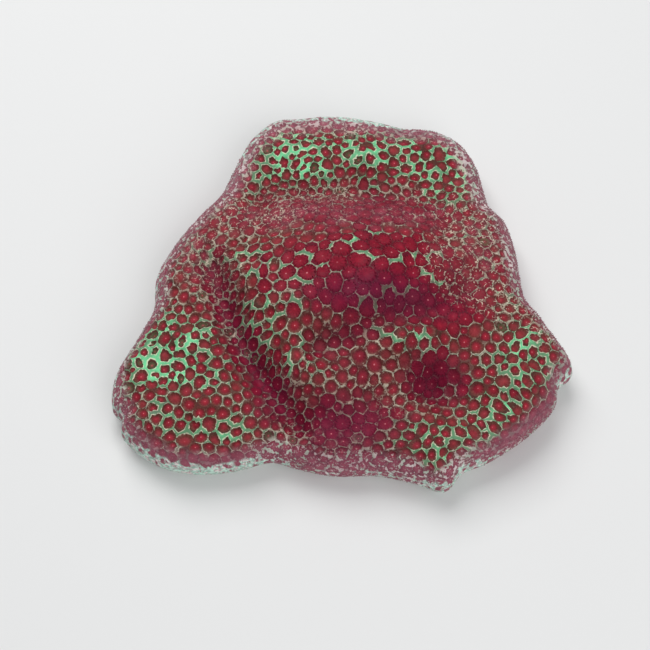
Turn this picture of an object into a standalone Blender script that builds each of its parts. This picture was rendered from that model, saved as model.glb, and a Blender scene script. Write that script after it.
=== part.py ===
"""A small stony coral colony: one lumpy cushion with a rolled edge, covered in shallow round cups, cut off flat below.

The colony is one closed solid. It stands on its cut base at z = 0, with +Z up and its front towards -Y.
"""
import math

import bmesh
import bpy
import numpy as np
from mathutils import Vector, geometry, kdtree

# Scene units are metres. The values below are millimetres, and degrees counted from +X towards +Y.
MM = 0.001
NODE_NAME = "coral_colony"

# The widest outline seen from above: (bearing, reach from the middle of the dome).
OUTLINE = (
    (6, 38.0),
    (16, 38.5),
    (25, 39.0),
    (32, 38.0),
    (38, 39.5),
    (46, 42.5),
    (54, 44.5),
    (61, 44.5),
    (71, 42.5),
    (83, 42.5),
    (102, 43.5),
    (110, 44.0),
    (119, 41.5),
    (127, 38.0),
    (137, 35.0),
    (149, 35.5),
    (162, 37.0),
    (174, 39.0),
    (186, 39.5),
    (196, 45.0),
    (203, 50.5),
    (209, 53.0),
    (212, 52.5),
    (215, 54.0),
    (222, 53.0),
    (229, 50.5),
    (240, 44.0),
    (248, 39.0),
    (256, 38.5),
    (268, 39.0),
    (280, 39.5),
    (290, 43.0),
    (296, 47.0),
    (302, 45.5),
    (308, 46.5),
    (320, 48.5),
    (330, 50.0),
    (335, 49.0),
    (340, 50.5),
    (349, 44.0),
    (357, 39.0),
)

# The edge rolls over to the widest line, then turns in to the cut. Its shoulder is sharper at the front right.
ROLL_WIDTH = 7.0
ROLL_WIDER_AT_BACK = 1.0
LIP_HEIGHT = 4.5
LIP_HIGHER_AT_BACK = 0.5
UNDERCUT = 2.4
SHARP_BEARING = 318
SHARP_HALF_WIDTH = 17
SHOULDER_SHARPNESS = 0.4

# The top: a plateau that climbs a little to the back, with lumps and folds on it.
PLATEAU_HEIGHT = 11.3
PLATEAU_CLIMB = 0.02

# Lumps and hollows: (x, y, half width, half depth, height).
DOME = (1.0, -2.0, 25.0, 18.0, 12.0)
DOME_FLATNESS = 1.2
LUMPS = (
    (4.0, 30.0, 20.0, 7.0, 2.4),
    (-32.0, -21.0, 12.0, 11.0, 1.6),
    (34.0, -18.0, 9.0, 14.0, 2.0),
    (18.0, -34.0, 9.0, 6.0, 1.6),
    (-9.0, -21.0, 7.5, 7.0, 3.0),
    (16.0, -15.0, 6.5, 4.5, 2.6),
    (31.0, 9.0, 7.0, 10.0, 1.2),
    (-30.0, 6.0, 6.0, 8.0, 1.0),
    (17.5, -22.5, 5.5, 4.0, -3.4),
)

# Folds: (depth, half width, the line of points that each follows).
FOLDS = (
    (3.6, 3.2, ((-26.5, 3.0), (-23.0, -7.5), (-18.0, -18.0), (-12.0, -26.5), (-8.5, -30.0))),
    (2.6, 3.2, ((24.0, -4.0), (15.0, -9.0), (6.0, -12.5), (-4.5, -16.0))),
    (1.2, 3.0, ((-16.0, 20.5), (-4.0, 20.5), (8.0, 20.5), (19.0, 18.5))),
)

# Gentle swells all over the top: (height, length from crest to crest, bearing, shift in degrees).
SWELLS = ((0.34, 17.0, 25, 40), (0.30, 13.0, 97, 10), (0.22, 10.0, 152, 75))

# The cups: their pitch on the plateaus, on the dome and in the folds, how deep their floors lie under the skin,
# and how proud of it the webs between them stand.
CUP_PITCH = 2.12
DOME_EXTRA_PITCH = 0.75
FOLD_LESS_PITCH = 0.45
CUP_DEPTH = 0.6
WEB_HEIGHT = 0.2

# How the cups find their places: no two stand closer than a share of their pitch, and none reaches the cut.
CLOSEST_SHARE = 0.86
EDGE_CLEARANCE = 1.5
SAMPLE_PITCH = 0.5
SETTLING_ROUNDS = 3
SEED = 41

# Points round the cut, and the short step that the skin's slope is measured over.
BASE_POINTS = 110
SLOPE_STEP = 0.05

# Inside this share of the way to the roll, the skin laid out flat is the plan itself.
UNSTRETCHED_SHARE = 0.5


def outline_reach(bearing):
    """Reach of the widest line at each bearing in radians: a smooth closed curve through OUTLINE."""
    knots = np.radians([point[0] for point in OUTLINE])
    reach = np.array([point[1] for point in OUTLINE])
    turn = 2 * math.pi
    knots = np.concatenate([knots[-2:] - turn, knots, knots[:2] + turn])
    reach = np.concatenate([reach[-2:], reach, reach[:2]])
    bearing = np.mod(bearing, turn)
    before = np.clip(np.searchsorted(knots, bearing, side="right") - 1, 1, len(knots) - 3)
    start, end = knots[before], knots[before + 1]
    slope_start = (reach[before + 1] - reach[before - 1]) / (end - knots[before - 1])
    slope_end = (reach[before + 2] - reach[before]) / (knots[before + 2] - start)
    span = end - start
    part = (bearing - start) / span
    hold = (1 + 2 * part) * (1 - part) ** 2
    rise = part * (1 - part) ** 2
    fall = part**2 * (part - 1)
    return (
        hold * reach[before]
        + (1 - hold) * reach[before + 1]
        + span * (rise * slope_start + fall * slope_end)
    )


def line_distance(x, y, line):
    """Distance from each place to a line of points."""
    nearest = np.full(np.shape(x), np.inf)
    for (ax, ay), (bx, by) in zip(line, line[1:]):
        length = (bx - ax) ** 2 + (by - ay) ** 2
        along = np.clip(((x - ax) * (bx - ax) + (y - ay) * (by - ay)) / length, 0, 1)
        apart = np.hypot(x - ax - along * (bx - ax), y - ay - along * (by - ay))
        nearest = np.minimum(nearest, apart)
    return nearest


def dome_share(x, y):
    middle_x, middle_y, half_width, half_depth, _ = DOME
    spread = ((x - middle_x) / half_width) ** 2 + ((y - middle_y) / half_depth) ** 2
    return np.exp(-(spread**DOME_FLATNESS))


def fold_share(x, y):
    """1 at the bottom of a fold, falling to 0 beside it."""
    share = np.zeros(np.shape(x))
    for _, half_width, line in FOLDS:
        share = np.maximum(share, np.exp(-((line_distance(x, y, line) / half_width) ** 2)))
    return share


def top_height(x, y):
    height = PLATEAU_HEIGHT + PLATEAU_CLIMB * y + DOME[4] * dome_share(x, y)
    for middle_x, middle_y, half_width, half_depth, rise in LUMPS:
        spread = ((x - middle_x) / half_width) ** 2 + ((y - middle_y) / half_depth) ** 2
        height = height + rise * np.exp(-spread)
    for depth, half_width, line in FOLDS:
        height = height - depth * np.exp(-((line_distance(x, y, line) / half_width) ** 2))
    for rise, length, bearing, shift in SWELLS:
        along = x * math.cos(math.radians(bearing)) + y * math.sin(math.radians(bearing))
        across = y * math.cos(math.radians(bearing)) - x * math.sin(math.radians(bearing))
        phase = 2 * math.pi * along / length + math.radians(shift)
        height = height + rise * np.sin(phase + np.sin(2 * math.pi * across / length))
    return height


def sharp_share(bearing):
    """1 where the shoulder is sharpest, falling to 0 to either side."""
    turn = 2 * math.pi
    apart = np.mod(bearing - math.radians(SHARP_BEARING) + math.pi, turn) - math.pi
    return np.exp(-((apart / math.radians(SHARP_HALF_WIDTH)) ** 2))


def roll_length():
    """Length of the quarter ellipse that the edge rolls over."""
    return math.pi / 2 * ROLL_WIDTH


def under_length():
    return math.hypot(LIP_HEIGHT, UNDERCUT)


def sheet_reach(bearing):
    """Reach of the skin when it is laid out flat: the plan, then the roll, then the underturn."""
    return outline_reach(bearing) - ROLL_WIDTH + roll_length() + under_length()


def skin_places(flat_x, flat_y):
    """Places on the smooth skin, in millimetres, for places on the skin laid out flat."""
    bearing = np.arctan2(flat_y, flat_x)
    travel = np.hypot(flat_x, flat_y)
    back = np.sin(bearing)
    width = ROLL_WIDTH + ROLL_WIDER_AT_BACK * back
    lip = LIP_HEIGHT + LIP_HIGHER_AT_BACK * back
    reach = outline_reach(bearing)
    roll_start = reach - ROLL_WIDTH
    inner = roll_start * UNSTRETCHED_SHARE
    stretch = (reach - width - inner) / (roll_start - inner)
    plan = np.where(travel > inner, inner + (travel - inner) * stretch, travel)
    past = np.clip((travel - roll_start) / roll_length(), 0, 1)
    under = np.clip((travel - roll_start - roll_length()) / under_length(), 0, 1)
    angle = past * math.pi / 2
    square = 1 - SHOULDER_SHARPNESS * sharp_share(bearing)
    plan = np.where(past > 0, reach - width + width * np.sin(angle) ** square, plan)
    x = plan * np.cos(bearing)
    y = plan * np.sin(bearing)
    top = top_height(x, y)
    z = lip + (top - lip) * np.cos(angle).clip(0, 1) ** square
    plan = plan - UNDERCUT * under**2
    z = z - lip * under
    return np.stack([plan * np.cos(bearing), plan * np.sin(bearing), z], axis=-1)


def skin_normals(flat_x, flat_y):
    east = skin_places(flat_x + SLOPE_STEP, flat_y) - skin_places(flat_x - SLOPE_STEP, flat_y)
    north = skin_places(flat_x, flat_y + SLOPE_STEP) - skin_places(flat_x, flat_y - SLOPE_STEP)
    normal = np.cross(east, north)
    return normal / np.linalg.norm(normal, axis=-1, keepdims=True)


def cup_pitch(flat_x, flat_y):
    places = skin_places(flat_x, flat_y)
    x, y = places[..., 0], places[..., 1]
    return CUP_PITCH + DOME_EXTRA_PITCH * dome_share(x, y) - FOLD_LESS_PITCH * fold_share(x, y)


def scatter_cups():
    """Middles of the cups on the skin laid out flat: well spaced, then settled into the middle of their own room."""
    draw = np.random.default_rng(SEED)
    widest = max(reach for _, reach in OUTLINE) + roll_length() + under_length()
    ticks = np.arange(-widest, widest, SAMPLE_PITCH)
    flat_x, flat_y = (side.ravel() for side in np.meshgrid(ticks, ticks))
    flat_x = flat_x + draw.uniform(-0.5, 0.5, flat_x.size) * SAMPLE_PITCH
    flat_y = flat_y + draw.uniform(-0.5, 0.5, flat_y.size) * SAMPLE_PITCH
    inside = np.hypot(flat_x, flat_y) < sheet_reach(np.arctan2(flat_y, flat_x)) - EDGE_CLEARANCE
    flat_x, flat_y = flat_x[inside], flat_y[inside]
    places = skin_places(flat_x, flat_y)
    pitch = cup_pitch(flat_x, flat_y)
    free = np.ones(len(places), bool)
    chosen = []
    for index in draw.permutation(len(places)):
        if free[index]:
            chosen.append(index)
            apart = ((places - places[index]) ** 2).sum(axis=1)
            free &= apart > (CLOSEST_SHARE * pitch[index]) ** 2
    cups = np.stack([flat_x[chosen], flat_y[chosen]], axis=1)
    for _ in range(SETTLING_ROUNDS):
        tree = kdtree.KDTree(len(cups))
        for index, place in enumerate(skin_places(cups[:, 0], cups[:, 1])):
            tree.insert(place, index)
        tree.balance()
        owner = np.array([tree.find(place)[1] for place in places])
        weight = 1 / pitch**2
        total = np.bincount(owner, weight, len(cups))
        cups[:, 0] = np.bincount(owner, weight * flat_x, len(cups)) / total
        cups[:, 1] = np.bincount(owner, weight * flat_y, len(cups)) / total
    return cups


def base_ring():
    """The cut's outline on the skin laid out flat."""
    bearings = np.arange(BASE_POINTS) * 2 * math.pi / BASE_POINTS
    reach = sheet_reach(bearings)
    return np.stack([reach * np.cos(bearings), reach * np.sin(bearings)], axis=1)


def colony_net():
    """(flat places, triangles between them, number of cups): the net that joins each cup to its neighbours."""
    cups = scatter_cups()
    ring = base_ring()
    flat = np.concatenate([cups, ring])
    first = len(cups)
    edges = [(first + k, first + (k + 1) % BASE_POINTS) for k in range(BASE_POINTS)]
    points = [Vector(place) for place in flat]
    places, _, triangles, origin, _, _ = geometry.delaunay_2d_cdt(points, edges, [], 1, 1e-6)
    if len(places) != len(flat):
        raise ValueError("two cups share a place")
    order = [origins[0] for origins in origin]
    return flat, [tuple(order[corner] for corner in triangle) for triangle in triangles], len(cups)


def build_colony():
    flat, triangles, cup_count = colony_net()
    webs = np.array([flat[list(triangle)].mean(axis=0) for triangle in triangles])
    net_places = skin_places(flat[:, 0], flat[:, 1])
    net_places[:cup_count] -= CUP_DEPTH * skin_normals(flat[:cup_count, 0], flat[:cup_count, 1])
    net_places[cup_count:, 2] = 0
    web_places = skin_places(webs[:, 0], webs[:, 1])
    web_places += WEB_HEIGHT * skin_normals(webs[:, 0], webs[:, 1])

    body = bmesh.new()
    net = [body.verts.new(place) for place in net_places]
    web = [body.verts.new(place) for place in web_places]
    beside = {}
    for index, triangle in enumerate(triangles):
        for start, end in zip(triangle, triangle[1:] + triangle[:1]):
            beside[start, end] = index
    for (start, end), left in beside.items():
        right = beside.get((end, start))
        if right is None:
            body.faces.new((net[start], net[end], web[left]))
        else:
            body.faces.new((net[start], web[right], web[left]))
    body.faces.new(list(reversed(net[cup_count:])))
    bmesh.ops.recalc_face_normals(body, faces=body.faces)
    low = np.min([vert.co for vert in body.verts], axis=0)
    high = np.max([vert.co for vert in body.verts], axis=0)
    middle = Vector(((low[0] + high[0]) / 2, (low[1] + high[1]) / 2, 0))
    for vert in body.verts:
        vert.co = (vert.co - middle) * MM
    mesh = bpy.data.meshes.new(NODE_NAME)
    body.to_mesh(mesh)
    body.free()
    mesh.shade_flat()
    colony = bpy.data.objects.new(NODE_NAME, mesh)
    bpy.context.scene.collection.objects.link(colony)
    return colony


def living_tissue():
    """Crimson living skin, dull and slightly damp."""
    material = bpy.data.materials.new("living_tissue")
    material.use_nodes = True
    shader = material.node_tree.nodes["Principled BSDF"]
    shader.inputs["Base Color"].default_value = (0.24, 0.03, 0.05, 1)
    shader.inputs["Roughness"].default_value = 0.6
    shader.inputs["Metallic"].default_value = 0.0
    return material


def main():
    for old in list(bpy.data.objects):
        bpy.data.objects.remove(old)
    colony = build_colony()
    colony.data.materials.append(living_tissue())


main()
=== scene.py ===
"""The looks of the coral colony: its living skin with every cup modelled, and the bare skeleton on its cut.

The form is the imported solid's own, from the same named values in millimetres and the same scatter of cups.
"""
import math

import bpy
import numpy as np
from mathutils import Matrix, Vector, geometry, kdtree


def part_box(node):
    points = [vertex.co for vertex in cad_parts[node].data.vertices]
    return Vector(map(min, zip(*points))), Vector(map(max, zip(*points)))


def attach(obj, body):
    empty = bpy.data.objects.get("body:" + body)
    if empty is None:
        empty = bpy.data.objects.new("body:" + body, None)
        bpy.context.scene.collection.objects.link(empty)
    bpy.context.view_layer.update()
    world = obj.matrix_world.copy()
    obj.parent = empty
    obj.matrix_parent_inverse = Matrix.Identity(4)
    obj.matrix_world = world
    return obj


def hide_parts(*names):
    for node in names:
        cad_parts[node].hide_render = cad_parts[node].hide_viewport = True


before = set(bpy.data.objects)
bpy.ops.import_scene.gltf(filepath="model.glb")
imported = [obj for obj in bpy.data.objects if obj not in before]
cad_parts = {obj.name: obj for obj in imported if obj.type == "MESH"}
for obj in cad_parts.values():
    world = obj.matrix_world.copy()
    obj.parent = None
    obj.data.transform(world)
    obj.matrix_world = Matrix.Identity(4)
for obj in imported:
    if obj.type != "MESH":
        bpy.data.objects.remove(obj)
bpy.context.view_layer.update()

MM = 0.001
NODE_NAME = "coral_colony"

# The widest outline seen from above: (bearing, reach from the middle of the dome).
OUTLINE = (
    (6, 38.0), (16, 38.5), (25, 39.0), (32, 38.0), (38, 39.5), (46, 42.5), (54, 44.5), (61, 44.5),
    (71, 42.5), (83, 42.5), (102, 43.5), (110, 44.0), (119, 41.5), (127, 38.0), (137, 35.0), (149, 35.5),
    (162, 37.0), (174, 39.0), (186, 39.5), (196, 45.0), (203, 50.5), (209, 53.0), (212, 52.5), (215, 54.0),
    (222, 53.0), (229, 50.5), (240, 44.0), (248, 39.0), (256, 38.5), (268, 39.0), (280, 39.5), (290, 43.0),
    (296, 47.0), (302, 45.5), (308, 46.5), (320, 48.5), (330, 50.0), (335, 49.0), (340, 50.5), (349, 44.0),
    (357, 39.0),
)

# The edge rolls over to the widest line and turns in to the cut. Its shoulder is sharper at the front right.
# What is wider, higher or sooner at the back is less so by as much at the front.
ROLL_WIDTH = 7.0
ROLL_WIDER_AT_BACK = 1.0
LIP_HEIGHT = 4.5
LIP_HIGHER_AT_BACK = 0.5
UNDERCUT = 2.4
SHARP_BEARING = 318
SHARP_HALF_WIDTH = 17
SHOULDER_SHARPNESS = 0.4

# Where along the roll the flesh turns mauve, and how much sooner it does so at the back only. The mauve is a
# dusty tone with painted sheen of the skin seen edge on, and the back is seen more edge on.
MAUVE_SHEEN_ROLL = (0.02, 0.72)
MAUVE_SHEEN_SOONER_AT_BACK = 0.27

# Where along the roll the colours of the top and its wide green webs end, and where the spread polyps begin.
TOP_ENDS = (0.25, 0.9)
GREEN_WEB_ENDS = (0.2, 0.8)
EDGE_SPREAD_ROLL = (0.25, 0.7)

# The top: a plateau that climbs a little to the back, with lumps and folds on it.
PLATEAU_HEIGHT = 11.3
PLATEAU_CLIMB = 0.02

# Lumps and hollows: (x, y, half width, half depth, height).
DOME = (1.0, -2.0, 25.0, 18.0, 12.0)
DOME_FLATNESS = 1.2
LUMPS = (
    (4.0, 30.0, 20.0, 7.0, 2.4), (-32.0, -21.0, 12.0, 11.0, 1.6), (34.0, -18.0, 9.0, 14.0, 2.0),
    (18.0, -34.0, 9.0, 6.0, 1.6), (-9.0, -21.0, 7.5, 7.0, 3.0), (16.0, -15.0, 6.5, 4.5, 2.6),
    (31.0, 9.0, 7.0, 10.0, 1.2), (-30.0, 6.0, 6.0, 8.0, 1.0), (17.5, -22.5, 5.5, 4.0, -3.4),
)

# Folds: (depth, half width, the line of points that each follows).
FOLDS = (
    (3.6, 3.2, ((-26.5, 3.0), (-23.0, -7.5), (-18.0, -18.0), (-12.0, -26.5), (-8.5, -30.0))),
    (2.6, 3.2, ((24.0, -4.0), (15.0, -9.0), (6.0, -12.5), (-4.5, -16.0))),
    (1.2, 3.0, ((-16.0, 20.5), (-4.0, 20.5), (8.0, 20.5), (19.0, 18.5))),
)

# Gentle swells all over the top: (height, length from crest to crest, bearing, shift in degrees).
SWELLS = ((0.34, 17.0, 25, 40), (0.30, 13.0, 97, 10), (0.22, 10.0, 152, 75))

# The cups: their pitch on the plateaus, on the dome and in the folds.
CUP_PITCH = 2.12
DOME_EXTRA_PITCH = 0.75
FOLD_LESS_PITCH = 0.45

# How the cups find their places: no two stand closer than a share of their pitch, and none reaches the cut.
CLOSEST_SHARE = 0.86
EDGE_CLEARANCE = 1.5
SAMPLE_PITCH = 0.5
SETTLING_ROUNDS = 3
SEED = 41

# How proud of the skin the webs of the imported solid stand.
CAD_WEB_HEIGHT = 0.2

# Pores on the cut: their pitch, how far inside the rim they stay, the deepest of them, the share of
# their pitch that each is shifted by, and a reach that holds them all.
PORE_PITCH = 1.5
PORE_MARGIN = 1.2
PORE_DEPTH = 0.35
PORE_SHIFT = 0.35
CUT_REACH = 60

# Points round the cut, and the short step that the skin's slope is measured over.
BASE_POINTS = 110
SLOPE_STEP = 0.05

# Inside this share of the way to the roll, the skin laid out flat is the plan itself.
UNSTRETCHED_SHARE = 0.5

# One cup from its middle out: (share of the disc's radius, height over the skin as a share of that radius).
# A drawn-in polyp leaves a dish with a steep wall. A spread one fills its cup as a low cushion with a dimple.
DRAWN_IN_PROFILE = ((0.0, -0.20), (0.28, -0.29), (0.62, -0.33), (0.87, -0.25), (1.0, 0.02))
SPREAD_PROFILE = ((0.0, -0.04), (0.28, -0.07), (0.62, 0.03), (0.87, 0.03), (1.0, -0.04))

# The web between two cups, as half its width: a thin thread, what a green patch adds, and where polyps touch.
# Some of the corners between three cups have a round spot of web. Each IN_GREEN is what there is at no green
# and what full green adds. OPEN_FROM and OPEN_FULLY are half widths.
THREAD_HALF_WIDTH = 0.085
GREEN_HALF_WIDTH = 0.125
MOST_GREEN = 1.6
TOUCHING_HALF_WIDTH = 0.015
TOUCHING_SHARE = 0.42
TOUCHING_MORE_WHERE_SPREAD = 0.60
CORNER_SPOT_SHARE = 0.50
CORNER_SPOT_HALF_WIDTH = 0.34
CORNER_SPOT_WIDTHS = (0.6, 1.3)
CORNER_SPOT_IN_GREEN = (0.15, 1.3)
CORNER_SPOT_WIDTH_IN_GREEN = (0.5, 0.7)
CORNER_SPOT_LESS_WHERE_SPREAD = 0.7
CREST_SPREAD = 0.5
WIDTH_VARIANCE = 0.50
OPEN_FROM = 0.02
OPEN_FULLY = 0.065

# Webs are open in clusters and closed in others: (across, along, phase) of the waves that set where.
CLUSTER_WAVES = ((0.55, 0.31, 0.4), (-0.38, 0.62, 2.1), (0.83, -0.42, 4.4), (0.21, 0.95, 1.3))
CLUSTER_TOUCHING = 0.20
CLUSTER_WIDTH = 0.40
CLUSTER_SPOTS = 0.5

# How proud of the skin the web stands: where polyps touch, on a thread, and per millimetre of half width.
# Where the crest is more than WIDE_SLOPE from the disc, a ring between them stands at SLOPE_LIFT of its lift.
TOUCHING_LIFT = -0.04
THREAD_LIFT = 0.09
LIFT_PER_HALF_WIDTH = 0.30
WIDE_SLOPE = 0.26
SLOPE_LIFT = 0.9

# Some polyps in the green are small and closed. The materials know them by a tone over 1.
CLOSED_CUP_SHARE = 0.05
CLOSED_CUP_SIZE = 0.68
CLOSED_TONE = 1.5
CLOSED_PATCHES = (
    (-38.5, -15.5, 6.5, 4.0, 0.45), (-27.0, -6.0, 2.0, 8.0, 0.40), (-20.5, -17.5, 2.0, 6.0, 0.40),
    (20.0, -38.5, 7.0, 2.5, 0.25),
)

# How much smaller than its room a drawn-in polyp can be, how much of that a spread one loses, and how far a
# disc can reach past its mean room, as a share of it.
SIZE_VARIANCE = 0.16
SPREAD_EVENNESS = 0.75
ROUND_LIMIT = 1.08

# The marks of web without a disc: the skirt down to the cut, and the cut.
PLAIN_MARK = (1.6, 0.0, 0.5)

# Patches where the web is wide and mint green: (x, y, half width, half depth, strength). All patches fade out
# alike, with a flatter middle where PATCH_FLATNESS is higher.
PATCH_FLATNESS = 1.5
GREEN_PATCHES = (
    (-35.5, -16.0, 12.0, 9.5, 1.45), (-28.0, -31.0, 17.0, 4.0, 0.80), (-29.0, -20.0, 11.0, 12.0, 0.65),
    (-18.5, -2.0, 8.0, 8.0, 0.45), (-15.0, -13.0, 5.5, 9.0, 0.70), (-9.0, 29.0, 12.0, 8.0, 1.45),
    (8.0, 29.0, 12.0, 7.0, 1.30), (23.0, 26.0, 8.0, 10.0, 1.25), (14.0, -15.5, 7.0, 3.0, 0.60),
    (37.0, -17.0, 9.0, 10.0, 0.95), (30.0, -28.0, 9.0, 9.0, 0.80), (19.0, -35.0, 12.0, 6.5, 1.00),
    (-19.0, 18.0, 5.0, 7.0, 0.55), (29.0, 12.0, 6.0, 10.0, 0.50), (-9.0, -20.0, 6.0, 6.0, 0.50),
    (-30.0, 5.0, 6.0, 10.0, 0.45), (33.0, -4.0, 6.0, 8.0, 0.45),
)

# Patches where the polyps are spread and touch, where the flesh is a dark magenta, and where it is a dusty
# mauve.
# The folds have some of the first two. A polyp is spread in full above the second of SPREAD_LIMITS.
# The dark magenta is painted shade of the folds and hollows over the flesh's own deeper tone, and the mauve
# is painted sheen where the skin is seen edge on, over its own dusty tone.
FOLD_SPREAD = 0.6
FOLD_MAGENTA_SHADE = 0.65
SPREAD_VARIANCE = 0.15
SPREAD_LIMITS = (0.1, 0.75)
SPREAD_PATCHES = (
    (8.0, -1.0, 24.0, 10.5, 1.0), (2.0, 14.0, 28.0, 5.0, 1.0), (18.0, -21.0, 8.0, 5.0, 0.6),
    (1.0, -31.0, 11.0, 6.0, 0.6), (23.0, -7.0, 8.0, 8.0, 0.7), (-25.0, 12.0, 8.0, 8.0, 0.35),
    (29.0, 9.0, 7.0, 12.0, 0.35),
)
MAGENTA_SHADE_PATCHES = (
    (18.5, -22.0, 7.5, 5.0, 0.65), (1.0, -31.0, 12.0, 7.0, 0.8), (8.0, -7.0, 15.0, 4.5, 0.9),
    (3.0, -20.0, 7.0, 6.0, 0.3), (-13.0, -26.0, 5.0, 6.0, 0.7),
)
MAUVE_SHEEN_PATCHES = (
    (0.0, 14.0, 30.0, 7.0, 0.36), (30.0, 8.0, 7.0, 12.0, 0.32), (-30.0, 6.0, 7.0, 9.0, 0.30),
    (24.0, 4.0, 6.0, 10.0, 0.22), (-2.0, -35.0, 14.0, 4.0, 0.25),
)

# Patches where short pale whiskers of flesh lie over the polyps, as the green patches are given.
WHISKER_PATCHES = (
    (25.0, 2.0, 8.0, 12.0, 0.75), (29.0, 13.0, 8.0, 9.0, 0.85), (31.0, -8.0, 8.0, 8.0, 0.7),
    (41.0, -11.0, 4.5, 8.0, 0.9), (-27.0, 4.0, 8.0, 10.0, 0.35), (-19.0, 15.0, 11.0, 6.0, 0.50),
    (2.0, 19.5, 24.0, 4.0, 0.35), (-12.0, -31.0, 9.0, 5.0, 0.35), (5.0, -27.0, 9.0, 5.0, 0.25),
)

# Where the steep edge is bare and mint white: (bearing, half width in degrees, strength). It starts some way
# along the roll, sooner at the back. At the back it also paints the pale rim of light round the outline.
PALE_FROM = 0.40
PALE_SOONER_AT_BACK = 0.16
PALE_FADE = 0.40
PALE_EDGES = (
    (230, 20, 1.6), (204, 16, 0.9), (86, 15, 1.3), (112, 20, 0.7), (300, 9, 1.0),
    (60, 12, 0.5), (342, 12, 0.85), (180, 25, 0.5), (275, 20, 0.3),
)

# Where the polyps of the shoulder stand out like velvet and hide the pale specks, given as the pale edges
# are, and where along the roll that ends.
VELVET_ENDS = (0.75, 1.0)
VELVET_EDGES = ((231, 16, 0.85), (325, 20, 0.85), (70, 10, 0.50), (268, 16, 0.35))

# Green streaks between the spread polyps: (x, y) of one end, then of the other. The cups beside them move
# into rows, a little in each round, and off each other where they come too close.
STREAK_HALF_WIDTH = 0.50
STREAK_REACH = 0.85
STREAK_GREEN = 0.80
STREAK_MID_WIDTHS = (0.8, 1.2)
STREAK_CORNER_WIDTHS = (0.8, 1.3)
ROW_ROUNDS = 4
ROW_DISTANCE = 0.5
ROW_PUSH = 0.6
ROW_ENDS = (-1.2, 0.2)
ROW_CLOSEST = 0.82
ROW_EASING = 0.35
FAR_APART = 99
STREAKS = (
    (-24.0, 4.2, -19.3, 3.9), (-18.2, 3.6, -15.4, 4.1), (-14.8, 1.1, -10.6, -1.6),
    (-10.6, -2.5, -6.5, -4.7), (-8.3, 1.8, -3.9, -1.0), (-19.3, -0.3, -17.0, -1.8),
    (-19.5, -7.1, -14.9, -8.1), (-19.6, -9.6, -16.7, -11.2), (-14.5, -11.3, -11.8, -10.3),
    (-9.8, -7.8, -8.1, -9.2), (-16.3, -14.4, -14.5, -15.1), (-8.6, -15.2, -7.9, -16.4),
    (-2.5, 2.9, -1.4, 2.3), (0.7, 3.4, 2.5, 4.4), (6.3, 7.4, 8.3, 6.8),
    (4.2, 1.4, 6.5, 0.4), (10.3, -0.4, 14.9, 2.2), (17.2, 1.8, 19.9, 3.3),
    (15.7, -1.2, 20.5, -3.0), (8.0, -6.6, 13.3, -5.0), (3.6, -8.7, 6.6, -9.1),
    (6.8, -12.9, 11.1, -15.7), (14.7, -15.0, 16.9, -14.5), (-10.4, -18.8, -10.2, -21.7),
    (34.2, -14.3, 39.0, -14.2), (40.4, -16.0, 42.7, -19.2), (31.8, -20.2, 36.9, -21.5),
    (33.4, -28.2, 34.9, -26.9), (29.6, -29.5, 30.2, -26.7), (29.0, -34.3, 30.2, -32.2),
    (21.2, -32.8, 23.3, -33.9), (23.2, -37.7, 25.0, -35.8), (-40.4, -16.5, -35.2, -18.4),
    (-28.0, -15.5, -26.6, -18.2), (-37.1, -26.4, -33.7, -29.3), (-32.5, -31.4, -27.1, -32.1),
    (-24.6, -32.8, -20.5, -33.7), (-22.6, -30.1, -19.0, -32.0), (-13.3, 35.2, -10.5, 30.5),
    (-15.7, 28.8, -10.5, 29.2), (-8.9, 31.2, -4.5, 30.7), (1.5, 32.5, 4.7, 29.1),
    (6.9, 31.0, 8.2, 29.4), (-18.6, 24.8, -17.8, 22.7), (-28.4, 4.2, -26.3, 6.7),
)

# The tentacles: twelve round each spread polyp, leaning out over the web. Length and half width are shares of
# the disc's reach, and the levels are (share of the length, share of the half width).
TENTACLE_COUNT = 12
TENTACLE_LENGTH = 0.27
TENTACLE_HALF_WIDTH = 0.065
TENTACLE_SHARE = 0.82
TENTACLE_LEAN = 0.75
TENTACLE_LEVELS = ((0.0, 1.0), (0.6, 0.8))
TENTACLE_SIDES = 3
TENTACLE_SIZES = (0.8, 1.15)
TENTACLE_IF_SPREAD = (0.55, 0.45)
TENTACLE_LEAST_SIZE = 0.6
TENTACLE_VARIANCE = 0.35
TENTACLE_SHIFT = 0.2
TENTACLE_SWAY = 0.3
TENTACLE_BEND = 0.25
TENTACLE_LIFT = 0.05
TENTACLE_ROOT_DEPTH = 0.04
TENTACLE_SHORTER_AT_EDGE = 0.6
OUTWARD_STEP = 0.3
LEAST_SPREAD = 0.35
MOST_BARE = 0.45


def outline_reach(bearing):
    """Reach of the widest line at each bearing in radians: a smooth closed curve through OUTLINE."""
    knots = np.radians([point[0] for point in OUTLINE])
    reach = np.array([point[1] for point in OUTLINE])
    turn = 2 * math.pi
    knots = np.concatenate([knots[-2:] - turn, knots, knots[:2] + turn])
    reach = np.concatenate([reach[-2:], reach, reach[:2]])
    bearing = np.mod(bearing, turn)
    before = np.clip(np.searchsorted(knots, bearing, side="right") - 1, 1, len(knots) - 3)
    start, end = knots[before], knots[before + 1]
    slope_start = (reach[before + 1] - reach[before - 1]) / (end - knots[before - 1])
    slope_end = (reach[before + 2] - reach[before]) / (knots[before + 2] - start)
    span = end - start
    part = (bearing - start) / span
    hold = (1 + 2 * part) * (1 - part) ** 2
    rise = part * (1 - part) ** 2
    fall = part**2 * (part - 1)
    level = hold * reach[before] + (1 - hold) * reach[before + 1]
    return level + span * (rise * slope_start + fall * slope_end)


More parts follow.
